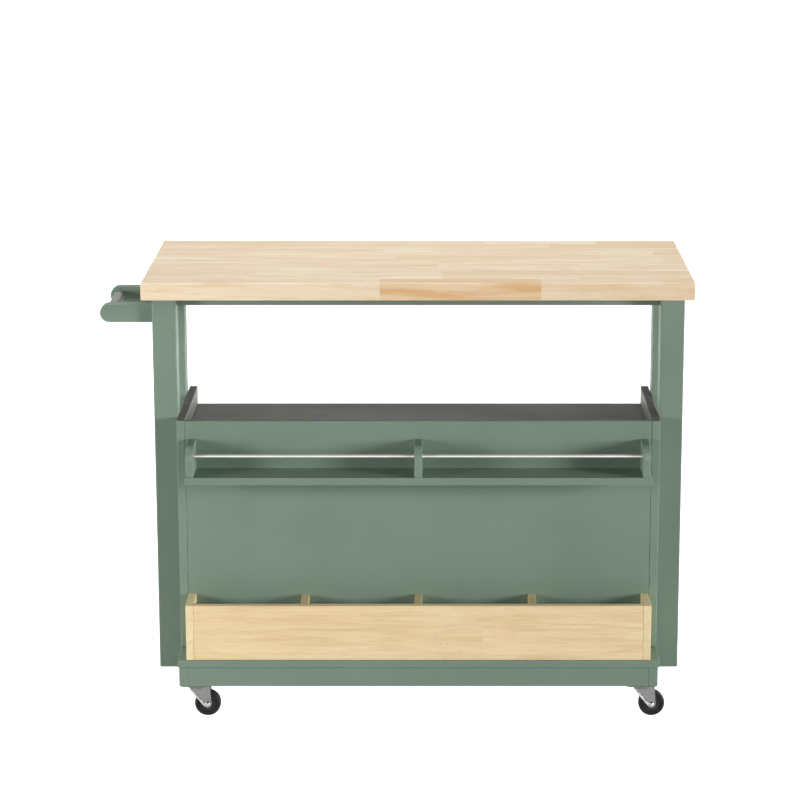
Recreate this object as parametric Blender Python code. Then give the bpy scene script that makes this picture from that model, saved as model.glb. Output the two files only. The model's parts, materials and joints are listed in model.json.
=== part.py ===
"""Kitchen island cart: a worktop on four posts, a low cabinet with drawers and doors, racks on its
back and four swivel casters. Metres, +Z up. Back is -Y, left is -X. The origin is on the floor,
under the centre of the whole cart."""

import math

import bmesh
import bpy
from mathutils import Vector

# Driving dimensions
TOP_LENGTH = 1.060
TOP_DEPTH = 0.460
TOP_THICK = 0.034
TOP_HEIGHT = 0.882
POST = 0.047
POST_INNER = 0.475  # from the cart's centre plane to a post's inner face
POST_Y = 0.0885  # a post's centre, each side of the worktop's centre line
POST_FOOT = 0.070
RAIL_HIGH = 0.039
RAIL_THICK = 0.018
ARM_REACH = 0.1035
ARM_HIGH = 0.037
ARM_THICK = 0.020
ARM_Z = 0.7965
TOWEL_BAR_RADIUS = 0.010
BOARD = 0.015
SIDE_THICK = 0.016
CABINET_HALF = 0.4747
CABINET_BACK = -0.148
CABINET_FRONT = 0.150
SIDE_TOP = 0.591
TRAY_Z = 0.554
DECK_Z = 0.125
DECK_BACK = -0.230
DECK_FRONT = 0.170
PLINTH_STEP = 0.004  # the plinth stands this far behind the deck's edge
PLINTH_HALF = 0.4725
PLINTH_THICK = 0.0185
PARTITION_X = 0.155
SHELF_Z = 0.335
FRONT_TOP = 0.546
FRONT_BOTTOM = 0.1275
FRONT_GAP = 0.003
BOX_HALF = 0.457
BOX_BACK = -0.2285
BOX_HIGH = 0.112
SPICE_Z = 0.495
SPICE_HALF = 0.454
SPICE_BACK = -0.2215
BRACKET_HIGH = 0.059
BRACKET_OUTER = 0.452
BRACKET_CORNER = 0.025
ROD_RADIUS = 0.0031
ROD_Z = 0.535
ROD_Y = -0.205
ROD_SOCKET = 0.005
CASTER_X = 0.441
CASTER_INSET = 0.0315  # from the plinth's face to a swivel axis
PLATE = 0.060
WHEEL_RADIUS = 0.026
TRAIL = 0.022
DRAWER_WALL = 0.012
DRAWER_FLOOR = 0.009
DRAWER_HIGH = 0.092
DRAWER_BACK = -0.112
RUNNER_SPACE = 0.0125
GAP = 0.0003  # between pieces that touch
EDGE = 0.0012  # eased edge of a board

# Worked out from those
TOP_UNDER = TOP_HEIGHT - TOP_THICK
CENTRE_X = (POST_INNER + POST + ARM_REACH - TOP_LENGTH / 2) / 2  # brings the whole cart's middle to x = 0
CABINET_INNER = CABINET_HALF - SIDE_THICK
PANEL_FACE = CABINET_BACK + 0.0005
FRONT_FACE = CABINET_FRONT + GAP + BOARD


def start():
    for item in list(bpy.data.objects):
        bpy.data.objects.remove(item, do_unlink=True)


def paint(name, colour, roughness, metallic=0.0):
    material = bpy.data.materials.new(name)
    material.use_nodes = True
    shader = material.node_tree.nodes["Principled BSDF"]
    shader.inputs["Base Color"].default_value = (*colour, 1.0)
    shader.inputs["Roughness"].default_value = roughness
    shader.inputs["Metallic"].default_value = metallic
    return material


def anchor(name, place, parent=None):
    """An empty at a place in the cart's own coordinates, for what hangs on it."""
    empty = bpy.data.objects.new(name, None)
    bpy.context.scene.collection.objects.link(empty)
    empty["place"] = place
    empty.location = Vector(place) - Vector(parent["place"]) if parent else Vector(place)
    empty.parent = parent
    return empty


def add(name, mesh, material, parent, place):
    """An object whose origin is at a place in the cart's own coordinates."""
    item = bpy.data.objects.new(name, mesh)
    bpy.context.scene.collection.objects.link(item)
    mesh.materials.append(material)
    item.parent = parent
    item.location = Vector(place) - Vector(parent["place"])
    return item


def finished(shape, name):
    bmesh.ops.recalc_face_normals(shape, faces=shape.faces)
    mesh = bpy.data.meshes.new(name)
    shape.to_mesh(mesh)
    shape.free()
    return mesh


def ease(item, width=EDGE, segments=1):
    bevel = item.modifiers.new("eased edges", "BEVEL")
    bevel.width = width
    bevel.segments = segments
    bevel.limit_method = "ANGLE"
    bevel.angle_limit = math.radians(50)
    return item


def block(size):
    shape = bmesh.new()
    bmesh.ops.create_cube(shape, size=1.0)
    bmesh.ops.scale(shape, vec=size, verts=shape.verts)
    return shape


def board(name, low, high, material, parent, edge=EDGE):
    """A sawn board between two corners, with eased edges."""
    low = Vector(low)
    high = Vector(high)
    item = add(name, finished(block(high - low), name), material, parent, (low + high) / 2)
    return ease(item, edge)


def plate_from(outline, thick):
    """A plate in the XZ plane, thick along Y and centred on it, from (x, z) points."""
    shape = bmesh.new()
    face = shape.faces.new([shape.verts.new((x, -thick / 2, z)) for x, z in outline])
    made = bmesh.ops.extrude_face_region(shape, geom=[face])
    moved = [part for part in made["geom"] if isinstance(part, bmesh.types.BMVert)]
    bmesh.ops.translate(shape, vec=(0, thick, 0), verts=moved)
    return shape


def arc(centre, radius, start_deg, end_deg, steps):
    """Points on an arc, its two ends included."""
    turns = [math.radians(start_deg + (end_deg - start_deg) * i / steps) for i in range(steps + 1)]
    return [(centre[0] + radius * math.cos(t), centre[1] + radius * math.sin(t)) for t in turns]


def turned(profile, sides, axis, closed=False):
    """A profile of (radius, distance) points turned about an axis. A closed profile makes a ring."""
    shape = bmesh.new()
    rings = []
    for i in range(sides):
        turn = 2 * math.pi * i / sides - math.pi / 2
        rings.append([shape.verts.new((r * math.cos(turn), d, r * math.sin(turn))) for r, d in profile])
    count = len(profile)
    for i in range(sides):
        first = rings[i]
        second = rings[(i + 1) % sides]
        for j in range(count if closed else count - 1):
            k = (j + 1) % count
            shape.faces.new((first[j], first[k], second[k], second[j]))
    if not closed:
        shape.faces.new([ring[0] for ring in rings])
        shape.faces.new([ring[-1] for ring in rings])
    spin = Vector((0, 1, 0)).rotation_difference(Vector(axis)).to_matrix()
    bmesh.ops.transform(shape, matrix=spin.to_4x4(), verts=shape.verts)
    return shape


def pin(radius, length, axis, sides=16):
    return turned([(radius, -length / 2), (radius, length / 2)], sides, axis)


def boolean(item, shape, place, operation):
    """Joins a shape to an item, or cuts it away, at a place in the cart's own coordinates."""
    tool = bpy.data.objects.new(item.name + " tool", finished(shape, item.name + " tool"))
    bpy.context.scene.collection.objects.link(tool)
    tool.hide_render = True
    tool.display_type = "WIRE"
    tool.parent = item.parent
    tool.location = Vector(place) - Vector(item.parent["place"])
    step = item.modifiers.new(operation.lower(), "BOOLEAN")
    step.operation = operation
    step.object = tool
    step.solver = "EXACT"


def smooth(item, degrees=40):
    item.data.shade_smooth()
    item.data.set_sharp_from_angle(angle=math.radians(degrees))
    return item


def make_worktop(cart, wood):
    board(
        "worktop",
        (-TOP_LENGTH / 2, -TOP_DEPTH / 2, TOP_UNDER),
        (TOP_LENGTH / 2, TOP_DEPTH / 2, TOP_HEIGHT),
        wood,
        cart,
        edge=0.002,
    )


def make_frame(cart, green):
    """Four square posts, tied under the worktop by a long rail at the back and one at the front."""
    for depth, side_y in (("back", -1), ("front", 1)):
        for side, side_x in (("left", -1), ("right", 1)):
            x = side_x * (POST_INNER + POST / 2)
            y = side_y * POST_Y
            board(
                f"post_{depth}_{side}",
                (x - POST / 2, y - POST / 2, POST_FOOT),
                (x + POST / 2, y + POST / 2, TOP_UNDER - GAP),
                green,
                cart,
                edge=0.002,
            )
        inner = side_y * (POST_Y - POST / 2)
        outer = inner + side_y * RAIL_THICK
        board(
            f"top_rail_{depth}",
            (-POST_INNER + GAP, min(inner, outer), TOP_UNDER - RAIL_HIGH),
            (POST_INNER - GAP, max(inner, outer), TOP_UNDER - GAP),
            green,
            cart,
        )


def make_towel_rail(cart, green, metal):
    """Two round-ended arms on the left posts, with a bar between them."""
    root = -(POST_INNER + POST + GAP)
    tip = -(POST_INNER + POST + ARM_REACH)
    half = ARM_HIGH / 2
    bar_x = tip + half
    outline = [(root, -half), (root, half)] + arc((bar_x, 0), half, 90, 270, 16)
    socket = 0.008
    for depth, side_y in (("back", -1), ("front", 1)):
        shape = plate_from([(x - root, z) for x, z in outline], ARM_THICK)
        name = f"towel_arm_{depth}"
        arm = add(name, finished(shape, name), green, cart, (root, side_y * POST_Y, ARM_Z))
        ease(arm, 0.001)
        hole = pin(TOWEL_BAR_RADIUS + GAP, 2 * socket, (0, 1, 0), 24)
        inner_face = side_y * (POST_Y - ARM_THICK / 2)
        boolean(arm, hole, (bar_x, inner_face, ARM_Z), "DIFFERENCE")
    length = 2 * (POST_Y - ARM_THICK / 2 + socket - GAP)
    bar = pin(TOWEL_BAR_RADIUS, length, (0, 1, 0), 24)
    smooth(add("towel_bar", finished(bar, "towel_bar"), metal, cart, (bar_x, 0, ARM_Z)))


def make_cabinet(cart, green):
    """Side panels, back panel, recessed top board, deck, partition and shelf."""
    for side, side_x in (("left", -1), ("right", 1)):
        inner = side_x * CABINET_INNER
        outer = side_x * CABINET_HALF
        board(
            f"side_panel_{side}",
            (min(inner, outer), CABINET_BACK, DECK_Z + GAP),
            (max(inner, outer), CABINET_FRONT, SIDE_TOP),
            green,
            cart,
        )
    half = CABINET_INNER - GAP
    inside_back = PANEL_FACE + BOARD + GAP
    top_under = TRAY_Z - BOARD
    panel_low = (-half, PANEL_FACE, DECK_Z + GAP)
    board("back_panel", panel_low, (half, PANEL_FACE + BOARD, SIDE_TOP - 0.001), green, cart)
    board("top_board", (-half, inside_back, top_under), (half, CABINET_FRONT, TRAY_Z), green, cart)
    board(
        "deck_board",
        (-CABINET_HALF + GAP, DECK_BACK, DECK_Z - BOARD),
        (CABINET_HALF - GAP, DECK_FRONT, DECK_Z),
        green,
        cart,
    )
    board(
        "partition",
        (PARTITION_X - BOARD / 2, inside_back, DECK_Z + GAP),
        (PARTITION_X + BOARD / 2, CABINET_FRONT - 0.001, top_under - GAP),
        green,
        cart,
    )
    board(
        "cabinet_shelf",
        (-CABINET_INNER + 0.001, inside_back + 0.004, SHELF_Z - BOARD),
        (PARTITION_X - BOARD / 2 - 0.001, CABINET_FRONT - 0.025, SHELF_Z),
        green,
        cart,
    )


def make_plinth(cart, green, timber):
    """A ring of boards under the deck, with a batten inside each end for the casters."""
    low = POST_FOOT
    high = DECK_Z - BOARD - GAP
    back = DECK_BACK + PLINTH_STEP
    front = DECK_FRONT - PLINTH_STEP
    inner = PLINTH_HALF - PLINTH_THICK
    for side, side_x in (("left", -1), ("right", 1)):
        edges = sorted((side_x * inner, side_x * PLINTH_HALF))
        board(f"plinth_{side}", (edges[0], back, low), (edges[1], front, high), green, cart)
        edges = sorted((side_x * (inner - GAP), side_x * (inner - PLATE)))
        board(
            f"caster_batten_{side}",
            (edges[0], back + PLINTH_THICK + GAP, low),
            (edges[1], front - PLINTH_THICK - GAP, high),
            timber,
            cart,
        )
    half = inner - GAP
    board("plinth_back", (-half, back, low), (half, back + PLINTH_THICK, high), green, cart)
    board("plinth_front", (-half, front - PLINTH_THICK, low), (half, front, high), green, cart)


def make_spice_rack(cart, green, metal):
    """A narrow shelf on the back panel, with three brackets on it and a rod through each bay."""
    wall = PANEL_FACE - GAP
    low = (-SPICE_HALF, SPICE_BACK, SPICE_Z - BOARD)
    board("spice_shelf", low, (SPICE_HALF, wall, SPICE_Z), green, cart)
    depth = wall - SPICE_BACK
    corner = (-depth + BRACKET_CORNER, BRACKET_HIGH - BRACKET_CORNER)
    outline = [(-depth, 0), (0, 0), (0, BRACKET_HIGH)] + arc(corner, BRACKET_CORNER, 90, 180, 8)
    centres = {"left": -BRACKET_OUTER + BOARD / 2, "middle": 0.0, "right": BRACKET_OUTER - BOARD / 2}
    for name, x in centres.items():
        shape = plate_from(outline, BOARD)
        quarter = Vector((1, 0, 0)).rotation_difference(Vector((0, 1, 0))).to_matrix().to_4x4()
        bmesh.ops.transform(shape, matrix=quarter, verts=shape.verts)
        label = f"spice_bracket_{name}"
        bracket = add(label, finished(shape, label), green, cart, (x, wall, SPICE_Z + GAP))
        ease(bracket, 0.001)
        for side_x in (-1, 1):
            if abs(x + side_x * BOARD) < BRACKET_OUTER:
                hole = pin(ROD_RADIUS + GAP, 2 * ROD_SOCKET, (1, 0, 0))
                boolean(bracket, hole, (x + side_x * BOARD / 2, ROD_Y, ROD_Z), "DIFFERENCE")
    reach = BRACKET_OUTER - BOARD + ROD_SOCKET - GAP
    near = BOARD / 2 - ROD_SOCKET + GAP
    for side, side_x in (("left", -1), ("right", 1)):
        label = f"spice_rod_{side}"
        rod = pin(ROD_RADIUS, reach - near, (1, 0, 0))
        middle = side_x * (reach + near) / 2
        smooth(add(label, finished(rod, label), metal, cart, (middle, ROD_Y, ROD_Z)))


def make_bottle_box(cart, wood):
    """A low box on the deck: a front board between two ends, and three dividers."""
    wall = PANEL_FACE - GAP
    low = DECK_Z + GAP
    high = DECK_Z + BOX_HIGH
    inner = BOX_HALF - BOARD
    front = (inner - GAP, BOX_BACK + BOARD, high)
    board("bottle_box_front", (-inner + GAP, BOX_BACK, low), front, wood, cart)
    for side, side_x in (("left", -1), ("right", 1)):
        edges = sorted((side_x * inner, side_x * BOX_HALF))
        label = f"bottle_box_end_{side}"
        board(label, (edges[0], BOX_BACK, low), (edges[1], wall, high), wood, cart)
    pitch = (inner + BOARD / 2) / 2
    for name, step in (("left", -1), ("middle", 0), ("right", 1)):
        x = step * pitch
        board(
            f"bottle_divider_{name}",
            (x - BOARD / 2, BOX_BACK + BOARD + GAP, low),
            (x + BOARD / 2, wall, high - 0.001),
            wood,
            cart,
        )


def make_knob(name, x, z, metal, parent):
    """A turned knob on a front's face."""
    profile = [(0.0065, 0), (0.005, 0.005), (0.0055, 0.011), (0.0125, 0.015), (0.0135, 0.019), (0.010, 0.023)]
    knob = turned(profile, 18, (0, 1, 0))
    smooth(add(name, finished(knob, name), metal, parent, (x, FRONT_FACE + GAP, z)), 30)


def make_doors(cart, green, metal):
    """Two overlay doors that meet in the middle of the left bay, each turning on its outer edge."""
    outer = CABINET_HALF - 0.001
    inner = PARTITION_X - FRONT_GAP / 2
    wide = (inner + outer - FRONT_GAP) / 2
    hinge_y = FRONT_FACE + FRONT_GAP / 2
    for side, start_x, hinge_side in (("left", -outer, -1), ("right", inner - wide, 1)):
        hinge_x = start_x + (wide if hinge_side > 0 else 0) + hinge_side * FRONT_GAP / 2
        hinge = anchor(f"hinge {side}", (hinge_x, hinge_y, FRONT_BOTTOM), cart)
        low = (start_x, CABINET_FRONT + GAP, FRONT_BOTTOM)
        board(f"door_{side}", low, (start_x + wide, FRONT_FACE, FRONT_TOP), green, hinge)
        free_x = start_x + (0.032 if hinge_side > 0 else wide - 0.032)
        make_knob(f"door_knob_{side}", free_x, FRONT_TOP - 0.085, metal, hinge)


def make_drawers(cart, green, timber, metal):
    """Three drawers in the right bay: a box of timber behind an overlay front."""
    left = PARTITION_X + FRONT_GAP / 2
    right = CABINET_HALF - 0.001
    pitch = (FRONT_TOP - FRONT_BOTTOM + FRONT_GAP) / 3
    box_left = PARTITION_X + BOARD / 2 + RUNNER_SPACE
    box_right = CABINET_INNER - RUNNER_SPACE
    for step, name in enumerate(("bottom", "middle", "top")):
        low = FRONT_BOTTOM + step * pitch
        high = low + pitch - FRONT_GAP
        middle = ((left + right) / 2, CABINET_FRONT, (low + high) / 2)
        slide = anchor(f"slide {name}", middle, cart)
        front_low = (left, CABINET_FRONT + GAP, low)
        board(f"drawer_front_{name}", front_low, (right, FRONT_FACE, high), green, slide)
        make_knob(f"drawer_knob_{name}", middle[0], middle[2], metal, slide)
        floor = middle[2] - DRAWER_HIGH / 2
        size = Vector((box_right - box_left, CABINET_FRONT - GAP - DRAWER_BACK, DRAWER_HIGH))
        shape = block(size)
        shape.faces.ensure_lookup_table()
        lid = max(shape.faces, key=lambda face: face.calc_center_median().z)
        bmesh.ops.inset_region(shape, faces=[lid], thickness=DRAWER_WALL)
        made = bmesh.ops.extrude_face_region(shape, geom=[lid])
        sunk = [part for part in made["geom"] if isinstance(part, bmesh.types.BMVert)]
        bmesh.ops.translate(shape, vec=(0, 0, DRAWER_FLOOR - DRAWER_HIGH), verts=sunk)
        bmesh.ops.delete(shape, geom=[lid], context="FACES")
        label = f"drawer_box_{name}"
        place = Vector((box_left, DRAWER_BACK, floor)) + size / 2
        ease(add(label, finished(shape, label), timber, slide, place), 0.001)


def make_caster(cart, label, x, y, zinc, rubber):
    """A top plate with its ball race, a swivelling fork with the axle in it, and the wheel."""
    top = POST_FOOT - GAP
    plate_thick = 0.002
    race_radius = 0.0205
    race_low = 0.0640
    swivel = anchor(f"swivel {label}", (x, y, race_low), cart)
    corner = 0.006
    half = PLATE / 2
    outline = []
    for quarter in range(4):
        turn = math.radians(90 * quarter)
        inset = half - corner
        centre = (inset * (math.cos(turn) - math.sin(turn)), inset * (math.sin(turn) + math.cos(turn)))
        outline += arc(centre, corner, 90 * quarter, 90 * quarter + 90, 3)
    flat = Vector((0, 1, 0)).rotation_difference(Vector((0, 0, 1))).to_matrix().to_4x4()
    shape = plate_from(outline, plate_thick)
    bmesh.ops.transform(shape, matrix=flat, verts=shape.verts)
    name = f"caster_plate_{label}"
    plate = add(name, finished(shape, name), zinc, cart, (x, y, top - plate_thick / 2))
    race_high = top - plate_thick / 2
    race = pin(race_radius, race_high - race_low, (0, 0, 1), 24)
    boolean(plate, race, (x, y, (race_high + race_low) / 2), "UNION")

    crown_high = race_low - GAP
    crown_low = 0.0602
    crown_middle = (crown_high + crown_low) / 2
    leg_inner = 0.0112
    leg_thick = 0.002
    leg_front = -0.013
    leg_rear = 0.0275
    boss = 0.0078
    crown = pin(race_radius, crown_high - crown_low, (0, 0, 1), 24)
    name = f"caster_fork_{label}"
    fork = add(name, finished(crown, name), zinc, swivel, (x, y, crown_middle))
    bridge_size = (leg_rear - leg_front, 2 * (leg_inner + leg_thick), crown_high - crown_low - 0.0008)
    bridge = (x + (leg_rear + leg_front) / 2, y, crown_middle)
    boolean(fork, block(bridge_size), bridge, "UNION")
    rise = crown_middle - WHEEL_RADIUS
    leg = [(leg_rear - TRAIL, rise), (leg_front - TRAIL, rise), (leg_front - TRAIL, rise - 0.006)]
    leg += arc((0, 0), boss, 215, 365, 8)
    for side_y in (-1, 1):
        place = (x + TRAIL, y + side_y * (leg_inner + leg_thick / 2), WHEEL_RADIUS)
        boolean(fork, plate_from(leg, leg_thick), place, "UNION")
    axle = pin(0.003, 2 * (leg_inner + leg_thick / 2), (0, 1, 0), 12)
    boolean(fork, axle, (x + TRAIL, y, WHEEL_RADIUS), "UNION")

    hub_half = 0.0105
    tyre_half = 0.0092
    side = [(0.0035, -hub_half), (0.009, -hub_half), (0.010, -tyre_half)]
    side += [(WHEEL_RADIUS - 0.0025, -tyre_half), (WHEEL_RADIUS, -tyre_half + 0.003)]
    profile = side + [(radius, -distance) for radius, distance in reversed(side)]
    name = f"caster_wheel_{label}"
    wheel = turned(profile, 24, (0, 1, 0), closed=True)
    smooth(add(name, finished(wheel, name), rubber, swivel, (x + TRAIL, y, WHEEL_RADIUS)), 30)


def make_casters(cart, zinc, rubber):
    back = DECK_BACK + PLINTH_STEP + CASTER_INSET
    front = DECK_FRONT - PLINTH_STEP - CASTER_INSET
    for depth, y in (("back", back), ("front", front)):
        for side, x in (("left", -CASTER_X), ("right", CASTER_X)):
            make_caster(cart, f"{depth}_{side}", x, y, zinc, rubber)


def main():
    start()
    green = paint("sage_paint", (0.235, 0.285, 0.225), 0.45)
    wood = paint("rubberwood", (0.72, 0.56, 0.36), 0.40)
    timber = paint("pale_timber", (0.70, 0.58, 0.42), 0.55)
    steel = paint("satin_steel", (0.62, 0.62, 0.60), 0.30, 1.0)
    zinc = paint("zinc_plate", (0.55, 0.55, 0.55), 0.38, 1.0)
    rubber = paint("black_rubber", (0.018, 0.018, 0.018), 0.60)
    cart = anchor("cart", (0, 0, 0))
    make_worktop(cart, wood)
    make_frame(cart, green)
    make_towel_rail(cart, green, steel)
    make_cabinet(cart, green)
    make_plinth(cart, green, timber)
    make_spice_rack(cart, green, steel)
    make_bottle_box(cart, wood)
    make_doors(cart, green, steel)
    make_drawers(cart, green, timber, steel)
    make_casters(cart, zinc, rubber)
    cart.location.x = CENTRE_X


main()
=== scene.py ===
"""Kitchen island cart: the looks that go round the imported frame. Metres, +Z up, back is -Y."""

import json
import math
import random

import bmesh
import bpy
from mathutils import Matrix, Vector


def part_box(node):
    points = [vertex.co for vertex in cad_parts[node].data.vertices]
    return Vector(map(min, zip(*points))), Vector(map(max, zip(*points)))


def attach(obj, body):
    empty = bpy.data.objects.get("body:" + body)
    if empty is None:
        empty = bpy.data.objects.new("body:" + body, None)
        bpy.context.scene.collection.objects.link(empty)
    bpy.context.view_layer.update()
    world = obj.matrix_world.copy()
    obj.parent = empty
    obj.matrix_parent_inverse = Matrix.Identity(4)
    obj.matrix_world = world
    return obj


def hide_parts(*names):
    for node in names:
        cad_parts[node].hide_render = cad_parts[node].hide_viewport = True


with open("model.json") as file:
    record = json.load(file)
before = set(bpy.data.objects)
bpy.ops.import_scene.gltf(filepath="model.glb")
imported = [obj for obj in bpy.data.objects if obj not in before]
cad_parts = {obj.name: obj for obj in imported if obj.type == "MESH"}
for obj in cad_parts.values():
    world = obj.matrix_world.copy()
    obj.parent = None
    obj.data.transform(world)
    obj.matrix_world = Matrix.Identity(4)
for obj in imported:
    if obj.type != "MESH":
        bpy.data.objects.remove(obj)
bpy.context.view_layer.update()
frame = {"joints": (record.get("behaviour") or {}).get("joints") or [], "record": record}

BODY_OF = {n: body for body, nodes in frame["record"]["behaviour"]["bodies"].items() for n in nodes}
X, Y, Z = 0, 1, 2
AXES = {X: Vector((1, 0, 0)), Y: Vector((0, 1, 0)), Z: Vector((0, 0, 1))}

# Sizes that the looks add to the frame's own
ARRIS = 0.0011  # eased edge of a painted board
POST_ARRIS = 0.0022
WORKTOP_ARRIS = 0.0020
STAVE = 0.043  # width of a worktop stave
LAMELLA = 0.037  # width of a stave in the bottle box
CREASE = 0.055  # glue line, as a share of the arris
MEMBER = 0.044  # stile and rail of a door
SUNK = 0.0045  # a door's panel behind its frame
WALL = 0.012  # drawer side
LEAF = 0.0009  # hinge leaf
KNUCKLES = 5  # of a hinge
HINGE_HALF = 0.019  # half a hinge's height
HINGE_SHARES = (0.16, 0.84)  # where a door's hinges sit, as shares of its height
HAIR = 0.0002  # what parts that move past each other stand clear by
PLATE_SHEET = 0.002  # pressed steel of a caster's plate and fork
PLATE_CORNER = 0.006
PLATE_HOLES = 0.0225  # a plate's screws from its middle, each way
RACE_RADIUS = 0.0230
LEG_INNER = 0.0112  # a fork's leg from the wheel's middle plane
LEG_FRONT = -0.013  # a leg's upper corners from the swivel's axis
LEG_REAR = 0.0275
LEG_BOSS = 0.0078  # radius of a leg's end round the axle
AXLE_RADIUS = 0.003
AXLE_BORE = 0.0036
HUB_EDGE = 0.0178
FLOOR_REACH = 60.0
FROM_ABOVE = 0.07  # the surround's strength on the object
FROM_BELOW = 0.24


# ---------------------------------------------------------------- shader helpers


def put(tree, kind, inputs=None, **settings):
    """A node with its settings, and its inputs given as values or as sockets to link."""
    made = tree.nodes.new(kind)
    for name, value in settings.items():
        setattr(made, name, value)
    for name, value in (inputs or {}).items():
        socket = made.inputs[name]
        if isinstance(value, bpy.types.NodeSocket):
            tree.links.new(value, socket)
        else:
            socket.default_value = value
    return made


def new_material(name, roughness, metallic=0.0):
    made = bpy.data.materials.new(name)
    made.use_nodes = True
    tree = made.node_tree
    shader = tree.nodes["Principled BSDF"]
    shader.inputs["Roughness"].default_value = roughness
    shader.inputs["Metallic"].default_value = metallic
    return made, tree, shader


def rgb(red, green, blue):
    """A linear colour from an 8-bit sRGB one."""
    parts = [c / 255 for c in (red, green, blue)]
    return (*[c / 12.92 if c < 0.04045 else ((c + 0.055) / 1.055) ** 2.4 for c in parts], 1.0)


def object_place(tree):
    return put(tree, "ShaderNodeTexCoord").outputs["Object"]


def stretched(tree, place, along, axis, across=1.0):
    """Coordinates drawn out along one axis, so that a noise on them runs in streaks."""
    scale = [across] * 3
    scale[axis] = along
    return put(tree, "ShaderNodeMapping", {"Vector": place, "Scale": scale}).outputs["Vector"]


def cloud(tree, place, scale, detail=3.0, distortion=0.0, roughness=0.5):
    inputs = {
        "Vector": place,
        "Scale": scale,
        "Detail": detail,
        "Distortion": distortion,
        "Roughness": roughness,
    }
    return put(tree, "ShaderNodeTexNoise", inputs).outputs["Fac"]


def ranged(tree, value, low, high, to_low, to_high):
    inputs = {"Value": value, "From Min": low, "From Max": high, "To Min": to_low, "To Max": to_high}
    return put(tree, "ShaderNodeMapRange", inputs, clamp=True).outputs["Result"]


def blended(tree, factor, first, second, mode="MIX"):
    made = put(tree, "ShaderNodeMix", data_type="RGBA", blend_type=mode)
    for index, value in ((0, factor), (6, first), (7, second)):
        if isinstance(value, bpy.types.NodeSocket):
            tree.links.new(value, made.inputs[index])
        else:
            made.inputs[index].default_value = value
    return made.outputs[2]


def bumped(tree, shader, heights):
    """Chains bumps, each a (height, distance in metres) pair, into the shader's normal."""
    normal = None
    for height, distance in heights:
        inputs = {"Height": height, "Distance": distance, "Strength": 1.0}
        if normal:
            inputs["Normal"] = normal
        normal = put(tree, "ShaderNodeBump", inputs).outputs["Normal"]
    tree.links.new(normal, shader.inputs["Normal"])


# ---------------------------------------------------------------- finishes

SAGE = rgb(122, 141, 126)
SAGE_DEEP = rgb(116, 136, 120)
SAGE_WORN = rgb(138, 156, 141)
# The tray's neutral grey stands in for the sage paint in the shade under the worktop, warmed by light
# bounced off its underside: painted shade and painted bounce light.
TRAY_SHADE_GREY = (rgb(142, 142, 142), rgb(136, 136, 136))
# A darker grey for the upstands' inner faces and tops round the tray: painted shade.
UPSTAND_SHADE_GREY = (rgb(104, 104, 101), rgb(98, 98, 95))
# The four tones of a wood: pale, warm, streak and blush
CREAM = (rgb(250, 239, 217), rgb(220, 172, 114), rgb(229, 198, 156), rgb(240, 218, 184))
HONEY = (rgb(244, 226, 183), rgb(233, 199, 148), rgb(223, 190, 142), rgb(241, 211, 168))
STRAW = (rgb(242, 226, 178), rgb(233, 211, 163), rgb(226, 202, 153), rgb(238, 218, 172))
# A darker copy of the straw tones for the dividers: painted shade, for the dim light on their tops.
STRAW_PAINTED_SHADE = (rgb(214, 192, 142), rgb(206, 182, 132), rgb(198, 172, 122), rgb(210, 186, 138))
PORE = rgb(170, 132, 92)
TIMBER_PALE = rgb(226, 202, 160)
TIMBER_DEEP = rgb(202, 168, 118)
ZINC = rgb(178, 180, 182)
BLACK = rgb(30, 30, 29)


def sage_paint(name, axis=None, main=SAGE, deep=SAGE_DEEP):
    """Satin lacquer. On solid wood its grain shows through a little along one axis."""
    made, tree, shader = new_material(name, 0.42)
    shader.inputs["Specular IOR Level"].default_value = 0.28
    place = object_place(tree)
    patches = ranged(tree, cloud(tree, place, 5.0, 4.0), 0.35, 0.65, 0.0, 1.0)
    colour = blended(tree, patches, main, deep)
    peel = cloud(tree, place, 650.0, 2.0)
    heights = [(peel, 0.00005)]
    if axis is not None:
        grain = cloud(tree, stretched(tree, place, 6.0, axis, 170.0), 1.0, 4.0, 0.4)
        faint = ranged(tree, grain, 0.35, 0.7, 0.0, 0.22)
        colour = blended(tree, faint, colour, deep)
        heights.append((grain, 0.00012))
    eased = put(tree, "ShaderNodeAttribute", attribute_name="eased").outputs["Fac"]
    rubbed = ranged(tree, cloud(tree, place, 38.0, 5.0), 0.42, 0.62, 0.0, 0.75)
    wear = put(tree, "ShaderNodeMath", {0: eased, 1: rubbed}, operation="MULTIPLY").outputs[0]
    colour = blended(tree, wear, colour, SAGE_WORN)
    tree.links.new(colour, shader.inputs["Base Color"])
    smears = cloud(tree, place, 14.0, 5.0, 0.8)
    tree.links.new(ranged(tree, smears, 0.3, 0.7, 0.46, 0.6), shader.inputs["Roughness"])
    bumped(tree, shader, heights)
    return made


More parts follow.
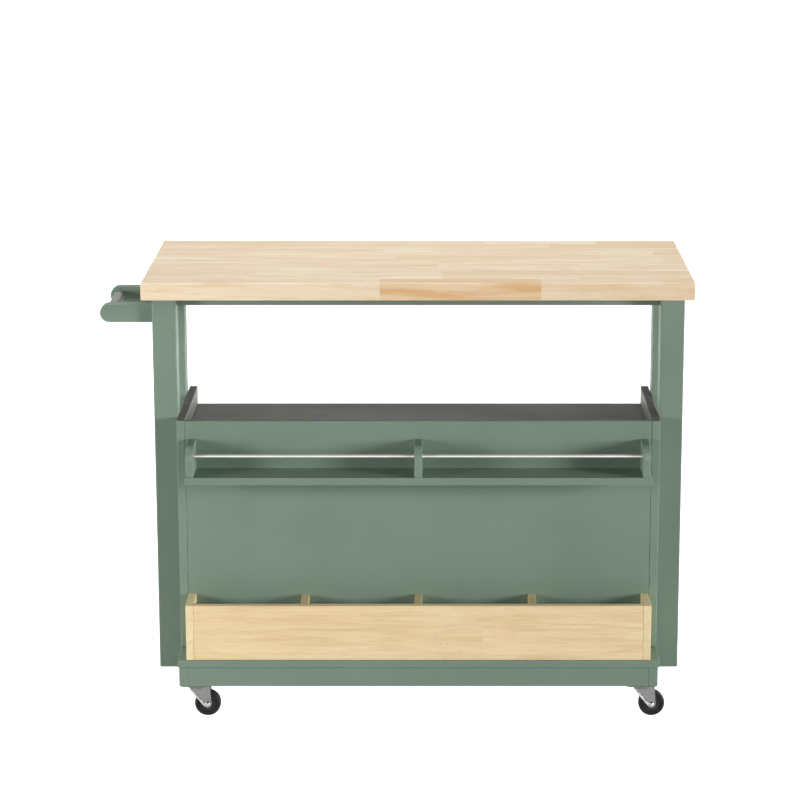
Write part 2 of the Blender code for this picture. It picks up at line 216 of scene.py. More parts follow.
def rubberwood(name, axis, tones):
    """Lacquered staves: each block has its own tone, soft streaks along its length and short pores."""
    pale, warm, streak, blush = tones
    made, tree, shader = new_material(name, 0.36)
    tone = put(tree, "ShaderNodeAttribute", attribute_name="tone").outputs["Fac"]
    jump = put(tree, "ShaderNodeVectorMath", {0: (3.1, 7.7, 5.3), "Scale": tone}, operation="SCALE")
    moved = {0: object_place(tree), 1: jump.outputs[0]}
    place = put(tree, "ShaderNodeVectorMath", moved, operation="ADD").outputs[0]
    figure = cloud(tree, stretched(tree, place, 2.2, axis, 24.0), 1.0, 3.0, 0.8, 0.55)
    bands = cloud(tree, stretched(tree, place, 5.5, axis, 55.0), 1.0, 3.0, 0.7, 0.55)
    streaks = cloud(tree, stretched(tree, place, 7.0, axis, 150.0), 1.0, 4.0, 0.7, 0.6)
    fibre = cloud(tree, stretched(tree, place, 14.0, axis, 520.0), 1.0, 3.0, 0.2)
    dashes = cloud(tree, stretched(tree, place, 45.0, axis, 1500.0), 1.0, 1.0)
    colour = blended(tree, tone, pale, warm)
    colour = blended(tree, ranged(tree, figure, 0.42, 0.60, 0.0, 0.8), colour, blush)
    colour = blended(tree, ranged(tree, bands, 0.46, 0.66, 0.0, 0.62), colour, streak)
    colour = blended(tree, ranged(tree, streaks, 0.48, 0.66, 0.0, 0.6), colour, streak)
    colour = blended(tree, ranged(tree, fibre, 0.45, 0.75, 0.0, 0.25), colour, streak)
    pores = ranged(tree, dashes, 0.66, 0.74, 0.0, 0.4)
    colour = blended(tree, pores, colour, PORE)
    tree.links.new(colour, shader.inputs["Base Color"])
    rough = ranged(tree, fibre, 0.3, 0.7, 0.34, 0.48)
    tree.links.new(rough, shader.inputs["Roughness"])
    shader.inputs["Coat Weight"].default_value = 0.15
    shader.inputs["Coat Roughness"].default_value = 0.25
    bumped(tree, shader, [(fibre, 0.00006), (pores, -0.00008)])
    return made


def drawer_timber(name, axis):
    """Pale unlacquered timber with a straight grain."""
    made, tree, shader = new_material(name, 0.55)
    place = object_place(tree)
    rings = cloud(tree, stretched(tree, place, 1.2, axis, 60.0), 1.0, 4.0, 0.7)
    fibre = cloud(tree, stretched(tree, place, 12.0, axis, 600.0), 1.0, 2.0)
    colour = blended(tree, ranged(tree, rings, 0.35, 0.7, 0.0, 0.8), TIMBER_PALE, TIMBER_DEEP)
    colour = blended(tree, ranged(tree, fibre, 0.5, 0.75, 0.0, 0.3), colour, TIMBER_DEEP)
    tree.links.new(colour, shader.inputs["Base Color"])
    tree.links.new(ranged(tree, fibre, 0.3, 0.7, 0.5, 0.66), shader.inputs["Roughness"])
    bumped(tree, shader, [(fibre, 0.00012)])
    return made


def satin_steel(name, axis, colour, metallic=1.0):
    """Steel brushed round its length, so that the lines run across one axis."""
    made, tree, shader = new_material(name, 0.3, metallic)
    place = object_place(tree)
    lines = cloud(tree, stretched(tree, place, 1400.0, axis, 12.0), 1.0, 2.0)
    dull = cloud(tree, place, 25.0, 3.0)
    dim = tuple(c * 0.85 for c in colour[:3]) + (1.0,)
    shade = blended(tree, ranged(tree, dull, 0.35, 0.7, 0.0, 0.5), colour, dim)
    tree.links.new(shade, shader.inputs["Base Color"])
    tree.links.new(ranged(tree, lines, 0.3, 0.7, 0.40, 0.52), shader.inputs["Roughness"])
    bumped(tree, shader, [(lines, 0.000002)])
    return made


def bright_zinc(name, roughness, colour):
    """Zinc-plated pressed steel with a faint spangle and rolling marks."""
    made, tree, shader = new_material(name, 0.28, 1.0)
    place = object_place(tree)
    spangle = put(tree, "ShaderNodeTexVoronoi", {"Vector": place, "Scale": 380.0}).outputs["Distance"]
    marks = cloud(tree, place, 220.0, 4.0, 1.2)
    dim = tuple(c * 0.7 for c in colour[:3]) + (1.0,)
    shade = blended(tree, ranged(tree, marks, 0.35, 0.7, 0.0, 0.8), colour, dim)
    tree.links.new(shade, shader.inputs["Base Color"])
    tree.links.new(ranged(tree, spangle, 0.0, 0.7, *roughness), shader.inputs["Roughness"])
    bumped(tree, shader, [(marks, 0.00004)])
    return made


def black_rubber(name, roughness, colour=BLACK):
    """Moulded black, a little dusty."""
    made, tree, shader = new_material(name, roughness)
    place = object_place(tree)
    shader.inputs["Specular IOR Level"].default_value = 0.25
    dust = ranged(tree, cloud(tree, place, 90.0, 5.0, 0.5), 0.48, 0.72, 0.0, 0.2)
    tree.links.new(blended(tree, dust, colour, rgb(74, 72, 68)), shader.inputs["Base Color"])
    grain = cloud(tree, place, 1800.0, 2.0)
    tree.links.new(
        ranged(tree, grain, 0.3, 0.7, roughness - 0.07, roughness + 0.09), shader.inputs["Roughness"]
    )
    bumped(tree, shader, [(grain, 0.00005)])
    return made


PAINT = {
    X: sage_paint("sage paint, grain along the cart", X),
    Y: sage_paint("sage paint, grain across the cart", Y),
    Z: sage_paint("sage paint, upright grain", Z),
    None: sage_paint("sage paint on fibreboard"),
}
TRAY_SHADE_PAINT = sage_paint("tray paint with painted shade", None, *TRAY_SHADE_GREY)
UPSTAND_SHADE_PAINT = sage_paint("upstand paint with painted shade", None, *UPSTAND_SHADE_GREY)
WORKTOP_WOOD = rubberwood("cream rubberwood, along the cart", X, CREAM)
BOX_WOOD = rubberwood("honey rubberwood, along the cart", X, HONEY)
END_WOOD = rubberwood("straw rubberwood, across the cart", Y, STRAW)
DIVIDER_SHADED_WOOD = rubberwood("straw rubberwood darkened as painted shade, across the cart", Y, STRAW_PAINTED_SHADE)
TIMBER = {axis: drawer_timber(f"timber {name}", axis) for axis, name in ((X, "long"), (Y, "deep"))}
BAR_STEEL = satin_steel("brushed steel, across the cart", Y, rgb(176, 178, 176))
# The rods' near-white colour on a part-metal finish paints in their bright reflection: painted reflection.
ROD_STEEL = satin_steel("bright steel with painted reflection, along the cart", X, rgb(238, 238, 234), 0.55)
KNOB_STEEL = satin_steel("turned steel", Y, rgb(190, 191, 188))
ZINC_PLATE = bright_zinc("zinc plate", (0.2, 0.36), ZINC)
# A darker copy of the zinc for the caster legs: painted shade beside the flanges' brighter zinc.
LEG_ZINC_SHADED = bright_zinc("zinc plate darkened as painted shade, on pressed legs", (0.28, 0.44), rgb(126, 126, 125))
# Dark zinc, also used as painted shade on the swivel's race and cup.
DARK_ZINC = bright_zinc("dulled zinc and painted shade", (0.35, 0.5), rgb(112, 112, 110))
TYRE = black_rubber("tyre rubber", 0.55)
HUB = black_rubber("hub nylon", 0.38, rgb(28, 28, 28))


# ---------------------------------------------------------------- mesh helpers


def shown(name, shape, materials):
    """An object from a bmesh, with its normals outwards."""
    bmesh.ops.recalc_face_normals(shape, faces=shape.faces)
    mesh = bpy.data.meshes.new(name)
    shape.to_mesh(mesh)
    shape.free()
    item = bpy.data.objects.new(name, mesh)
    bpy.context.scene.collection.objects.link(item)
    for material in materials if isinstance(materials, (list, tuple)) else [materials]:
        mesh.materials.append(material)
    return item


def settled(item):
    """Turns an object's modifiers into its plain mesh."""
    graph = bpy.context.evaluated_depsgraph_get()
    mesh = bpy.data.meshes.new_from_object(
        item.evaluated_get(graph), preserve_all_data_layers=True, depsgraph=graph
    )
    item.modifiers.clear()
    item.data = mesh
    return item


def rounded(item, width, segments=3, limit=40, weighted=False):
    """Rounds the edges of an item, smooth on the rounding and flat on its faces."""
    item.data.shade_smooth()
    bevel = item.modifiers.new("rounding", "BEVEL")
    bevel.width = width
    bevel.segments = segments
    bevel.limit_method = "WEIGHT" if weighted else "ANGLE"
    bevel.angle_limit = math.radians(limit)
    bevel.harden_normals = True
    bevel.use_clamp_overlap = True
    return settled(item)


def mark_eased(item):
    """Marks the faces that lie along no axis, which are the roundings, for the wear in the paint."""
    layer = item.data.attributes.new("eased", "FLOAT", "FACE")
    for face, value in zip(item.data.polygons, layer.data):
        value.value = float(max(abs(part) for part in face.normal) < 0.999)
    return item


def kept(item, body, slot, *nodes):
    """The last step for a piece: its body, and the CAD nodes it stands for, which it hides. The finish slot
    is not used.
    """
    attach(item, body)
    if nodes:
        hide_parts(*nodes)
    return item


def add_box(shape, low, high):
    low, high = Vector(low), Vector(high)
    made = bmesh.ops.create_cube(shape, size=1.0)["verts"]
    bmesh.ops.scale(shape, vec=high - low, verts=made)
    bmesh.ops.translate(shape, vec=(low + high) / 2, verts=made)
    return made


def add_plate(shape, outline, axis, start, end):
    """A plate from an outline in the plane across an axis, given as (first, second) of the other two."""
    others = [a for a in (X, Y, Z) if a != axis]
    rings = []
    for place in (start, end):
        ring = []
        for point in outline:
            spot = Vector((0, 0, 0))
            spot[axis] = place
            spot[others[0]], spot[others[1]] = point
            ring.append(shape.verts.new(spot))
        rings.append(ring)
    shape.faces.new(rings[0])
    shape.faces.new(rings[1])
    count = len(outline)
    for i in range(count):
        j = (i + 1) % count
        shape.faces.new((rings[0][i], rings[0][j], rings[1][j], rings[1][i]))


def arc(centre, radius, start_deg, end_deg, steps):
    turns = [math.radians(start_deg + (end_deg - start_deg) * i / steps) for i in range(steps + 1)]
    return [(centre[0] + radius * math.cos(t), centre[1] + radius * math.sin(t)) for t in turns]


def add_turned(shape, profile, centre, axis, steps=48):
    """A closed turned solid from (radius, distance) points, whose two ends lie on the axis or meet."""
    lathe = bmesh.new()
    points = [lathe.verts.new((radius, 0, distance)) for radius, distance in profile]
    edges = [lathe.edges.new(pair) for pair in zip(points, points[1:])]
    bmesh.ops.spin(
        lathe,
        geom=points + edges,
        cent=(0, 0, 0),
        axis=(0, 0, 1),
        angle=2 * math.pi,
        steps=steps,
        use_merge=True,
    )
    bmesh.ops.remove_doubles(lathe, verts=lathe.verts, dist=1e-6)
    turn = Vector((0, 0, 1)).rotation_difference(AXES[axis]).to_matrix().to_4x4()
    bmesh.ops.transform(lathe, matrix=Matrix.Translation(centre) @ turn, verts=lathe.verts)
    mesh = bpy.data.meshes.new("turned part")
    lathe.to_mesh(mesh)
    lathe.free()
    shape.from_mesh(mesh)
    bpy.data.meshes.remove(mesh)


def turned(name, profile, centre, axis, materials, steps=48, sharp=32):
    shape = bmesh.new()
    add_turned(shape, profile, centre, axis, steps)
    item = shown(name, shape, materials)
    item.data.shade_smooth()
    item.data.set_sharp_from_angle(angle=math.radians(sharp))
    return item


# ---------------------------------------------------------------- geometry nodes


def new_tree(name, inputs):
    tree = bpy.data.node_groups.new(name, "GeometryNodeTree")
    tree.interface.new_socket("Geometry", in_out="INPUT", socket_type="NodeSocketGeometry")
    for label, kind in inputs:
        tree.interface.new_socket(label, in_out="INPUT", socket_type=kind)
    tree.interface.new_socket("Geometry", in_out="OUTPUT", socket_type="NodeSocketGeometry")
    return tree, tree.nodes.new("NodeGroupInput").outputs


def ends(tree, geometry, material):
    """Ends a tree: instances made real, the material set."""
    real = put(tree, "GeometryNodeRealizeInstances", {"Geometry": geometry}).outputs["Geometry"]
    coated = put(tree, "GeometryNodeSetMaterial", {"Geometry": real, "Material": material})
    put(tree, "NodeGroupOutput", {"Geometry": coated.outputs["Geometry"]})


def math_node(tree, operation, *values):
    return put(tree, "ShaderNodeMath", dict(enumerate(values)), operation=operation).outputs[0]


def staves_tree():
    """Blocks of wood laid on points. A block's size and tone are attributes of its point. The panel's
    own outer edges get a full rounding and the glue lines a hairline one."""
    tree, given = new_tree(
        "jointed staves",
        [
            ("Panel Centre", "NodeSocketVector"),
            ("Panel Size", "NodeSocketVector"),
            ("Crease", "NodeSocketFloat"),
            ("Wood", "NodeSocketMaterial"),
        ],
    )
    cube = put(tree, "GeometryNodeMeshCube", {"Size": (1, 1, 1)}).outputs["Mesh"]
    size = put(tree, "GeometryNodeInputNamedAttribute", {"Name": "block"}, data_type="FLOAT_VECTOR")
    points = put(tree, "GeometryNodeMeshToPoints", {"Mesh": given["Geometry"]}).outputs["Points"]
    laid = {"Points": points, "Instance": cube, "Scale": size.outputs["Attribute"]}
    blocks = put(tree, "GeometryNodeInstanceOnPoints", laid).outputs["Instances"]
    real = put(tree, "GeometryNodeRealizeInstances", {"Geometry": blocks}).outputs["Geometry"]
    place = put(tree, "GeometryNodeInputPosition").outputs["Position"]
    off = put(tree, "ShaderNodeVectorMath", {0: place, 1: given["Panel Centre"]}, operation="SUBTRACT")
    far = put(tree, "ShaderNodeVectorMath", {0: off.outputs[0]}, operation="ABSOLUTE").outputs[0]
    half = put(
        tree, "ShaderNodeVectorMath", {0: given["Panel Size"], "Scale": 0.5}, operation="SCALE"
    ).outputs[0]
    past = put(tree, "ShaderNodeVectorMath", {0: half, 1: far}, operation="SUBTRACT").outputs[0]
    apart = put(tree, "ShaderNodeSeparateXYZ", {"Vector": past}).outputs
    outer = [math_node(tree, "LESS_THAN", apart[i], 0.0002) for i in (X, Y, Z)]
    count = math_node(tree, "ADD", math_node(tree, "ADD", outer[X], outer[Y]), outer[Z])
    arris = math_node(tree, "GREATER_THAN", count, 1.5)
    line = math_node(tree, "MULTIPLY", math_node(tree, "GREATER_THAN", count, 0.5), given["Crease"])
    weight = math_node(tree, "MAXIMUM", arris, line)
    stored = put(
        tree,
        "GeometryNodeStoreNamedAttribute",
        {"Geometry": real, "Name": "bevel_weight_edge", "Value": weight},
        data_type="FLOAT",
        domain="EDGE",
    )
    smooth = put(tree, "GeometryNodeSetShadeSmooth", {"Geometry": stored.outputs["Geometry"]})
    ends(tree, smooth.outputs["Geometry"], given["Wood"])
    return tree


def fastener_tree():
    """Screw heads on points: a low cone with a cross cut in it, each turned its own way."""
    tree, given = new_tree(
        "screw heads",
        [
            ("Head Radius", "NodeSocketFloat"),
            ("Head Height", "NodeSocketFloat"),
            ("Cross Width", "NodeSocketFloat"),
            ("Seed", "NodeSocketInt"),
            ("Metal", "NodeSocketMaterial"),
        ],
    )
    radius, height, width = (given[n] for n in ("Head Radius", "Head Height", "Cross Width"))
    cone = {
        "Vertices": 20,
        "Radius Top": math_node(tree, "MULTIPLY", radius, 0.66),
        "Radius Bottom": radius,
        "Depth": height,
    }
    head = put(tree, "GeometryNodeMeshCone", cone).outputs["Mesh"]
    arm = math_node(tree, "MULTIPLY", radius, 1.05)
    deep = math_node(tree, "MULTIPLY", height, 1.1)
    slots = put(tree, "GeometryNodeJoinGeometry")
    for across in (True, False):
        sides = {"X": arm if across else width, "Y": width if across else arm, "Z": deep}
        size = put(tree, "ShaderNodeCombineXYZ", sides).outputs[0]
        slot = put(tree, "GeometryNodeMeshCube", {"Size": size}).outputs["Mesh"]
        lift = put(tree, "ShaderNodeCombineXYZ", {"Z": height}).outputs[0]
        moved = put(tree, "GeometryNodeTransform", {"Geometry": slot, "Translation": lift})
        tree.links.new(moved.outputs["Geometry"], slots.inputs["Geometry"])
    cut = put(tree, "GeometryNodeMeshBoolean", {"Mesh 1": head}, operation="DIFFERENCE")
    tree.links.new(slots.outputs["Geometry"], cut.inputs["Mesh 2"])
    facing = put(tree, "GeometryNodeInputNamedAttribute", {"Name": "facing"}, data_type="FLOAT_VECTOR")
    outwards = {"Vector": facing.outputs["Attribute"]}
    aimed = put(tree, "FunctionNodeAlignRotationToVector", outwards, axis="Z").outputs["Rotation"]
    chance = put(
        tree, "FunctionNodeRandomValue", {"Min": 0.0, "Max": math.pi, "Seed": given["Seed"]}
    )
    own = put(tree, "ShaderNodeCombineXYZ", {"Z": chance.outputs["Value"]}).outputs[0]
    spin = put(tree, "FunctionNodeEulerToRotation", {"Euler": own}).outputs["Rotation"]
    both = {"Rotation": aimed, "Rotate By": spin}
    way = put(tree, "FunctionNodeRotateRotation", both, rotation_space="LOCAL").outputs["Rotation"]
    points = put(tree, "GeometryNodeMeshToPoints", {"Mesh": given["Geometry"]}).outputs["Points"]
    laid = {"Points": points, "Instance": cut.outputs["Mesh"], "Rotation": way}
    placed = put(tree, "GeometryNodeInstanceOnPoints", laid).outputs["Instances"]
    ends(tree, placed, given["Metal"])
    return tree


def points_mesh(name, points, **attributes):
    """A mesh of loose points with a float or a vector attribute for each named list."""
    mesh = bpy.data.meshes.new(name)
    mesh.from_pydata(points, [], [])
    for label, values in attributes.items():
        vector = not isinstance(values[0], float)
        layer = mesh.attributes.new(label, "FLOAT_VECTOR" if vector else "FLOAT", "POINT")
        flat = [part for value in values for part in value] if vector else values
        layer.data.foreach_set("vector" if vector else "value", flat)
    return mesh


def grown(name, mesh, tree, values):
    """An object whose shape a tree grows on a mesh of points. Its modifier is still live."""
    item = bpy.data.objects.new(name, mesh)
    modifier = item.modifiers.new("grown", "NODES")
    modifier.node_group = tree
    sockets = {s.name: s.identifier for s in tree.interface.items_tree if s.in_out == "INPUT"}
    for label, value in values.items():
        modifier[sockets[label]] = value
    bpy.context.scene.collection.objects.link(item)
    return item


STAVES = staves_tree()
SCREW_HEADS = fastener_tree()


def jointed_panel(name, node, axes, wood, width, pitch, seed, rows=(), arris=0.001):
    """A panel glued up from staves, in a CAD node's place. The first ones may be given, each as the
    (share, tone) pairs of its blocks: where a block starts along the stave, and how warm it is."""
    low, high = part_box(node)
    span = high - low
    long_axis, across_axis = axes
    rng = random.Random(seed)
    count = max(1, round(span[across_axis] / width))
    wide = span[across_axis] / count
    points, blocks, tones = [], [], []
    for stave in range(count):
        if stave < len(rows):
            joints = [low[long_axis] + share * span[long_axis] for share, _ in rows[stave][1:]]
            colours = [tone for _, tone in rows[stave]]
        else:
            start = low[long_axis] + rng.uniform(0.2, 1.0) * pitch
            steps = int(span[long_axis] / pitch) + 1
            joints = [start + pitch * (i + rng.uniform(-0.22, 0.22)) for i in range(steps)]
            joints = [j for j in joints if low[long_axis] + 0.03 < j < high[long_axis] - 0.03]
            colours = [rng.random() ** 1.7 * 0.5 for _ in range(len(joints) + 1)]
        bounds = [low[long_axis], *joints, high[long_axis]]
        for start, end, tone in zip(bounds, bounds[1:], colours):
            centre = (low + high) / 2
            centre[long_axis] = (start + end) / 2
            centre[across_axis] = low[across_axis] + (stave + 0.5) * wide
            size = span.copy()
            size[long_axis] = end - start
            size[across_axis] = wide
            points.append(centre)
            blocks.append(size)
            tones.append(tone)
    mesh = points_mesh(name, points, block=blocks, tone=tones)
    values = {
        "Panel Centre": (low + high) / 2,
        "Panel Size": span,
        "Crease": CREASE * WORKTOP_ARRIS / arris,
        "Wood": wood,
    }
    item = grown(name, mesh, STAVES, values)
    bevel = item.modifiers.new("rounding", "BEVEL")
    bevel.width = arris
    bevel.segments = 3
    bevel.limit_method = "WEIGHT"
    bevel.harden_normals = True
    return settled(item)


def screws(name, places, body, slot, radius=0.0042, height=0.0016, cross=0.0011, seed=3, metal=None):
    """Screw heads at (place, facing) pairs, as one piece on one body."""
    points = [Vector(place) for place, _ in places]
    mesh = points_mesh(name, points, facing=[Vector(facing) for _, facing in places])
    values = {
        "Head Radius": radius,
        "Head Height": height,
        "Cross Width": cross,
        "Seed": seed,
        "Metal": metal or ZINC_PLATE,
    }
    return kept(settled(grown(name, mesh, SCREW_HEADS, values)), body, slot)


# ---------------------------------------------------------------- worktop and frame


def make_worktop():
    # The shares and tones of the blocks in the back edge's own stave
    edge = [(0.0, 0.22), (0.431, 0.95), (0.722, 0.35), (0.942, 0.5)]
    item = jointed_panel(
        "worktop_staves", "worktop", (X, Y), WORKTOP_WOOD, STAVE, 0.33, 11, [edge], WORKTOP_ARRIS
    )
    kept(item, "cart", "rubberwood", "worktop")


def painted_board(node, axis, arris=ARRIS, paint=None):
    shape = bmesh.new()
    add_box(shape, *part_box(node))
    item = shown(f"{node}_board", shape, paint or PAINT[axis])
    kept(mark_eased(rounded(item, arris)), BODY_OF[node], "sage_paint", node)


def shaded_upstand_panel(node, inwards, top_too):
    """A panel whose upstand round the tray is painted dark grey on the inside, and along the top if asked:
    painted shade, for the shade under the worktop.
    """
    tray_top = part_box("top_board")[1].z
    shape = bmesh.new()
    add_box(shape, *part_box(node))
    whole = shape.verts[:] + shape.edges[:] + shape.faces[:]
    bmesh.ops.bisect_plane(shape, geom=whole, plane_co=(0, 0, tray_top), plane_no=(0, 0, 1))
    item = rounded(shown(f"{node}_board", shape, [PAINT[None], UPSTAND_SHADE_PAINT]), ARRIS)
    # Faces above the tray that face inwards, and up if asked, take the painted shade.
    for face in item.data.polygons:
        in_shade = face.normal.dot(Vector(inwards)) > 0.5 or (top_too and face.normal.z > 0.5)
        face.material_index = int(in_shade and face.center.z > tray_top)
    kept(mark_eased(item), "cart", "sage_paint", node)


def make_painted_boards():
    for depth in ("back", "front"):
        painted_board(f"top_rail_{depth}", X)
        for side in ("left", "right"):
            painted_board(f"post_{depth}_{side}", Z, POST_ARRIS)
    for side in ("left", "right"):
        shaded_upstand_panel(f"side_panel_{side}", (1 if side == "left" else -1, 0, 0), True)
        painted_board(f"plinth_{side}", Y)
    shaded_upstand_panel("back_panel", (0, 1, 0), False)
    # The tray board takes the grey that paints in its shade.
    painted_board("top_board", None, paint=TRAY_SHADE_PAINT)
    painted_board("deck_board", None)
    painted_board("partition", None)
    painted_board("cabinet_shelf", None)
    painted_board("plinth_back", X)
    painted_board("plinth_front", X)
    painted_board("spice_shelf", X)


def make_towel_rail():
    for depth in ("back", "front"):
        node = f"towel_arm_{depth}"
        low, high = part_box(node)
        half = (high.z - low.z) / 2
        middle = (low.x + half, (low.z + high.z) / 2)
        outline = [(high.x, low.z), (high.x, high.z)] + arc(middle, half, 90, 270, 28)
        shape = bmesh.new()
        add_plate(shape, outline, Y, low.y, high.y)
        item = rounded(shown(f"{node}_wood", shape, PAINT[X]), 0.0016)
        kept(mark_eased(item), "cart", "sage_paint", node)
    low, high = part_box("towel_bar")
    radius = (high.z - low.z) / 2
    long = high.y - low.y
    chamfer = 0.001
    profile = [(0, 0), (radius - chamfer, 0), (radius, chamfer)]
    profile += [(radius, long * step / 6) for step in range(1, 6)]
    profile += [(radius, long - chamfer), (radius - chamfer, long), (0, long)]
    centre = ((low.x + high.x) / 2, low.y, (low.z + high.z) / 2)
    item = turned("towel_bar_tube", profile, centre, Y, BAR_STEEL)
    kept(item, "cart", "satin_steel", "towel_bar")


# ---------------------------------------------------------------- racks on the back


def make_spice_rack():
    for place in ("left", "middle", "right"):
        node = f"spice_bracket_{place}"
        low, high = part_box(node)
        radius = 0.025
        corner = (low.y + radius, high.z - radius)
        outline = [(low.y, low.z), (high.y, low.z), (high.y, high.z)] + arc(corner, radius, 90, 180, 16)
        shape = bmesh.new()
        add_plate(shape, outline, X, low.x, high.x)
        item = rounded(shown(f"{node}_board", shape, PAINT[None]), ARRIS)
        kept(mark_eased(item), "cart", "sage_paint", node)
    for side in ("left", "right"):
        node = f"spice_rod_{side}"
        low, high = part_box(node)
        radius = (high.z - low.z) / 2
        long = high.x - low.x
        profile = [(0, 0), (radius * 0.8, 0), (radius, radius * 0.2)]
        profile += [(radius, long - radius * 0.2), (radius * 0.8, long), (0, long)]
        centre = (low.x, (low.y + high.y) / 2, (low.z + high.z) / 2)
        # The rods take the steel whose colour paints in their reflection.
        item = turned(f"{node}_steel", profile, centre, X, ROD_STEEL, 24)
        kept(item, "cart", "satin_steel", node)


def make_bottle_box():
    rows = [[(0.0, 0.30), (0.553, 0.12)], [(0.0, 0.50), (0.644, 0.02)], [(0.0, 0.55), (0.37, 0.35)]]
    item = jointed_panel("box_front", "bottle_box_front", (X, Z), BOX_WOOD, LAMELLA, 0.36, 5, rows)
    kept(item, "cart", "rubberwood", "bottle_box_front")
    plain = [[(0.0, 0.0)]]
    parts = [f"bottle_box_end_{side}" for side in ("left", "right")]
    parts += [f"bottle_divider_{place}" for place in ("left", "middle", "right")]
    for seed, node in enumerate(parts):
        # The dividers take the darker straw, which paints in their shade.
        wood = END_WOOD if "end" in node else DIVIDER_SHADED_WOOD
        item = jointed_panel(f"{node}_wood", node, (Y, Z), wood, 0.12, 0.3, seed, plain)
        kept(item, "cart", "rubberwood", node)


# ---------------------------------------------------------------- doors and drawers


def add_framed_front(shape, low, high, member):
    """Stiles, rails and a sunk panel, as boards that meet in fine joints."""
    left, right, bottom, top = low.x, high.x, low.z, high.z
    add_box(shape, low, (left + member, high.y, top))
    add_box(shape, (right - member, low.y, bottom), high)
    add_box(shape, (left + member, low.y, top - member), (right - member, high.y, top))
    add_box(shape, (left + member, low.y, bottom), (right - member, high.y, bottom + member))
    tongue = 0.004
    add_box(
        shape,
        (left + member - tongue, low.y + 0.0005, bottom + member - tongue),
        (right - member + tongue, high.y - SUNK, top - member + tongue),
    )


def framed_front(node, member):
    low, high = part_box(node)
    shape = bmesh.new()
    add_framed_front(shape, low, high, member)
    item = rounded(shown(f"{node}_frame", shape, PAINT[None]), 0.0009)
    kept(mark_eased(item), BODY_OF[node], "sage_paint", node)


def make_knob(node):
    low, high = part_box(node)
    centre = ((low.x + high.x) / 2, low.y, (low.z + high.z) / 2)
    rose = [(0, 0), (0.0078, 0), (0.0078, 0.0012), (0.0070, 0.0020)]
    neck = [(0.0052, 0.0034), (0.0046, 0.0060), (0.0048, 0.0090), (0.0062, 0.0122), (0.0100, 0.0146)]
    cap = arc((0.0110, 0.0176), 0.0025, -70, 60, 6) + [(0.0095, 0.0212), (0.0060, 0.0224), (0, 0.0229)]
    item = turned(f"{node}_turned", rose + neck + cap, centre, Y, KNOB_STEEL, 48, 50)
    kept(item, BODY_OF[node], "satin_steel", node)


def make_drawer_box(node):
    """Four sides round a thin bottom, with the joints showing."""
    low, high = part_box(node)
    shape = bmesh.new()
    for x in (low.x, high.x - WALL):
        add_box(shape, (x, low.y, low.z), (x + WALL, high.y, high.z))
    for y in (low.y, high.y - WALL):
        add_box(shape, (low.x + WALL, y, low.z), (high.x - WALL, y + WALL, high.z - 0.0005))
    inner = 0.006
    add_box(
        shape,
        (low.x + inner, low.y + inner, low.z + 0.0035),
        (high.x - inner, high.y - inner, low.z + 0.009),
    )
    item = rounded(shown(f"{node}_boards", shape, TIMBER[Y]), 0.0012, 2)
    kept(mark_eased(item), BODY_OF[node], "pale_timber", node)


def make_runners(level):
    """Steel slides: a channel on the cabinet each side, and a rail in it on the drawer."""
    body = f"{level}_drawer"
    low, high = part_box(f"drawer_box_{level}")
    middle = low.z + 0.030
    cart_parts, drawer_parts = bmesh.new(), bmesh.new()
    side_faces = (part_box("partition")[1].x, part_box("side_panel_right")[0].x)
    for inner, face, way in ((low.x, side_faces[0], -1), (high.x, side_faces[1], 1)):
        back = face - way * 0.0002
        near = face - way * 0.0085
        thin = 0.0012
        half = 0.0135
        web = sorted((back, back - way * thin))
        lip = sorted((back, near))
        span = (low.y + 0.004, high.y - 0.004)
        add_box(cart_parts, (web[0], span[0], middle - half), (web[1], span[1], middle + half))
        for z in (middle - half, middle + half - thin):
            add_box(cart_parts, (lip[0], span[0], z), (lip[1], span[1], z + thin))
        rail = sorted((inner + way * 0.0002, inner + way * 0.0092))
        foot = sorted((inner + way * 0.0002, inner + way * 0.0014))
        core = 0.0042
        add_box(drawer_parts, (rail[0], span[0], middle - core), (rail[1], span[1], middle + core))
        add_box(drawer_parts, (foot[0], span[0], middle - 0.011), (foot[1], span[1], middle + 0.011))
    channel = rounded(shown(f"runner_channels_{level}", cart_parts, ZINC_PLATE), 0.0003, 2)
    kept(channel, "cart", "zinc_plate")
    rails = rounded(shown(f"runner_rails_{level}", drawer_parts, DARK_ZINC), 0.0004, 2)
    kept(rails, body, "zinc_plate")
    places = []
    for y in (0.10, -0.02, -0.09):
        places.append(((low.x + 0.0006 - 0.002, y, middle + 0.0075), (-1, 0, 0)))
        places.append(((high.x - 0.0006 + 0.002, y, middle + 0.0075), (1, 0, 0)))
    screws(f"runner_screws_{level}", places, body, "zinc_plate", 0.0026, 0.0009, 0.0006)


def make_fronts():
    for side in ("left", "right"):
        framed_front(f"door_{side}", MEMBER)
        make_knob(f"door_knob_{side}")
    for level in ("bottom", "middle", "top"):
        framed_front(f"drawer_front_{level}", 0.034)
        make_knob(f"drawer_knob_{level}")
        make_drawer_box(f"drawer_box_{level}")
        make_runners(level)


def add_cabinet_leaf(shape, side, axle, low, high):
    """The hinge's leaf on the cabinet: outside the left panel, or on the partition's front edge."""
    near = axle.y - 3 * HAIR
    if side == "left":
        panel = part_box("side_panel_left")
        start = (panel[0].x - HAIR - LEAF, panel[1].y - 0.018, low)
        add_box(shape, start, (panel[0].x - HAIR, near, high))
    else:
        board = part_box("partition")
        front = board[1].y + HAIR / 2
        add_box(shape, (board[0].x + 0.001, front, low), (board[1].x - 0.001, front + LEAF, high))
        add_box(shape, (axle.x + HAIR, front, low), (axle.x + HAIR + LEAF, near, high))


def hinge_middles(side):
    """The heights of a door's two hinges."""
    low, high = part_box(f"door_{side}")
    return [low.z + share * (high.z - low.z) for share in HINGE_SHARES]


